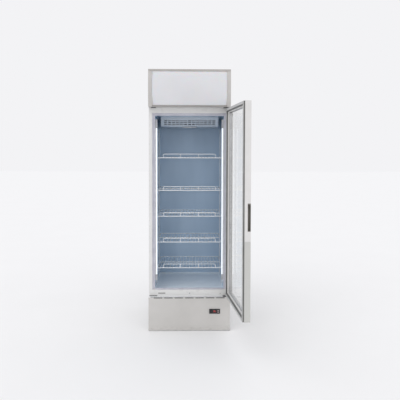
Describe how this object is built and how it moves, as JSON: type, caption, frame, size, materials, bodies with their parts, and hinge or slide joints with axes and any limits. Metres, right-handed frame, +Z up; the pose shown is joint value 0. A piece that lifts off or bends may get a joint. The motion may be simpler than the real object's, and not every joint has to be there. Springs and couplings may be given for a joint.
{
  "type": "glass door merchandiser",
  "caption": "Upright drinks cooler with a hinged glass door, lit sign canopy, wire shelves and a refrigeration base with vents and a controller.",
  "frame": {"origin": "on the floor, at the middle of the cabinet's footprint (base front to back panel)", "axes": "+X to the right as a customer sees it, +Y from the door towards the back, +Z up"},
  "size_m": [0.7057, 1.2018, 1.984],
  "materials": {
    "cabinet_paint": "satin",
    "galvanised_steel": "satin",
    "liner_plastic": "satin",
    "breaker_plastic": "satin",
    "insulation": "matte",
    "shelf_coating": "gloss",
    "bright_steel": "satin",
    "lamp_channel": "satin",
    "lamp_lens": "gloss",
    "grey_plastic": "matte",
    "sign_frame": "satin",
    "sign_panel": "gloss",
    "door_frame_plastic": "satin",
    "door_glazing": "polished",
    "spacer_bar": "satin",
    "gasket_rubber": "matte",
    "handle_plastic": "satin",
    "compressor_paint": "gloss",
    "copper_tube": "satin",
    "coil_aluminium": "satin",
    "motor_metal": "satin",
    "fan_blades": "satin",
    "inlet_plastic": "satin",
    "controller_plastic": "satin",
    "key_plastic": "matte",
    "foot_plastic": "matte"
  },
  "bodies": {
    "cabinet": {"outer_wrapper": "cabinet_paint", "back_panel": "cabinet_paint", "face_frame": "cabinet_paint", "breaker_frame": "breaker_plastic", "inner_liner": "liner_plastic", "foam_insulation": "insulation", "screw_heads": "galvanised_steel", "base_frame": "galvanised_steel", "machine_tray": "galvanised_steel", "front_panel": "cabinet_paint", "rear_grille": "galvanised_steel", "power_inlet": "inlet_plastic", "compressor": "compressor_paint", "condenser_coil": "coil_aluminium", "condenser_shroud": "galvanised_steel", "condenser_fan_motor": "motor_metal", "refrigerant_lines": "copper_tube", "drain_tube": "grey_plastic", "evaporation_tray": "grey_plastic", "led_strips": "lamp_channel", "led_lenses": "lamp_lens", "led_holders": "grey_plastic", "evaporator_cover": "liner_plastic", "evaporator_coil": "coil_aluminium", "evaporator_fan_motor": "motor_metal", "fan_guard": "shelf_coating", "canopy_housing": "galvanised_steel", "canopy_end_left": "sign_frame", "canopy_end_right": "sign_frame", "canopy_trims": "sign_frame", "canopy_diffuser": "sign_panel", "canopy_led_bars": "lamp_channel", "hinge_bracket_bottom": "galvanised_steel", "hinge_bracket_top": "galvanised_steel", "hinge_plugs": "grey_plastic", "door_switch": "grey_plastic", "controller": "controller_plastic", "shelf_1": "shelf_coating", "shelf_2": "shelf_coating", "shelf_3": "shelf_coating", "shelf_4": "shelf_coating", "shelf_5": "shelf_coating", "shelf_standards": "galvanised_steel", "shelf_clips": "bright_steel"},
    "door": {"door_stile_hinge": "door_frame_plastic", "door_stile_handle": "door_frame_plastic", "door_rails": "door_frame_plastic", "hinge_bushes": "grey_plastic", "handle_insert": "handle_plastic", "door_glass": "door_glazing", "glass_spacer": "spacer_bar", "door_gasket": "gasket_rubber"},
    "condenser_fan_wheel": {"condenser_fan": "fan_blades"},
    "evaporator_fan_wheel": {"evaporator_fan": "fan_blades"},
    "up_key": {"button_up": "key_plastic"},
    "down_key": {"button_down": "key_plastic"},
    "front_left_foot": {"foot_front_left": "foot_plastic"},
    "front_right_foot": {"foot_front_right": "foot_plastic"},
    "rear_left_foot": {"foot_rear_left": "foot_plastic"},
    "rear_right_foot": {"foot_rear_right": "foot_plastic"}
  },
  "joints": [
    {"name": "door_hinge", "type": "hinge", "parent": "cabinet", "child": "door", "pos_m": [0.297, -0.29, 0.264], "axis": [0, 0, 1], "range_deg": [-96.5, 23.5]},
    {"name": "condenser_fan_spin", "type": "hinge", "parent": "cabinet", "child": "condenser_fan_wheel", "pos_m": [0.15, -0.102, 0.13], "axis": [0, 1, 0], "continuous": true},
    {"name": "evaporator_fan_spin", "type": "hinge", "parent": "cabinet", "child": "evaporator_fan_wheel", "pos_m": [0, -0.006, 1.581], "axis": [0, 0, 1], "continuous": true},
    {"name": "up_key_press", "type": "slide", "parent": "cabinet", "child": "up_key", "axis": [0, 1, 0], "range_m": [0, 0.001], "stiffness_N_per_m": 600},
    {"name": "down_key_press", "type": "slide", "parent": "cabinet", "child": "down_key", "axis": [0, 1, 0], "range_m": [0, 0.001], "stiffness_N_per_m": 600},
    {"name": "front_left_foot_screw", "type": "slide", "parent": "cabinet", "child": "front_left_foot", "axis": [0, 0, -1], "range_m": [0, 0.02]},
    {"name": "front_right_foot_screw", "type": "slide", "parent": "cabinet", "child": "front_right_foot", "axis": [0, 0, -1], "range_m": [0, 0.02]},
    {"name": "rear_left_foot_screw", "type": "slide", "parent": "cabinet", "child": "rear_left_foot", "axis": [0, 0, -1], "range_m": [0, 0.02]},
    {"name": "rear_right_foot_screw", "type": "slide", "parent": "cabinet", "child": "rear_right_foot", "axis": [0, 0, -1], "range_m": [0, 0.02]}
  ]
}
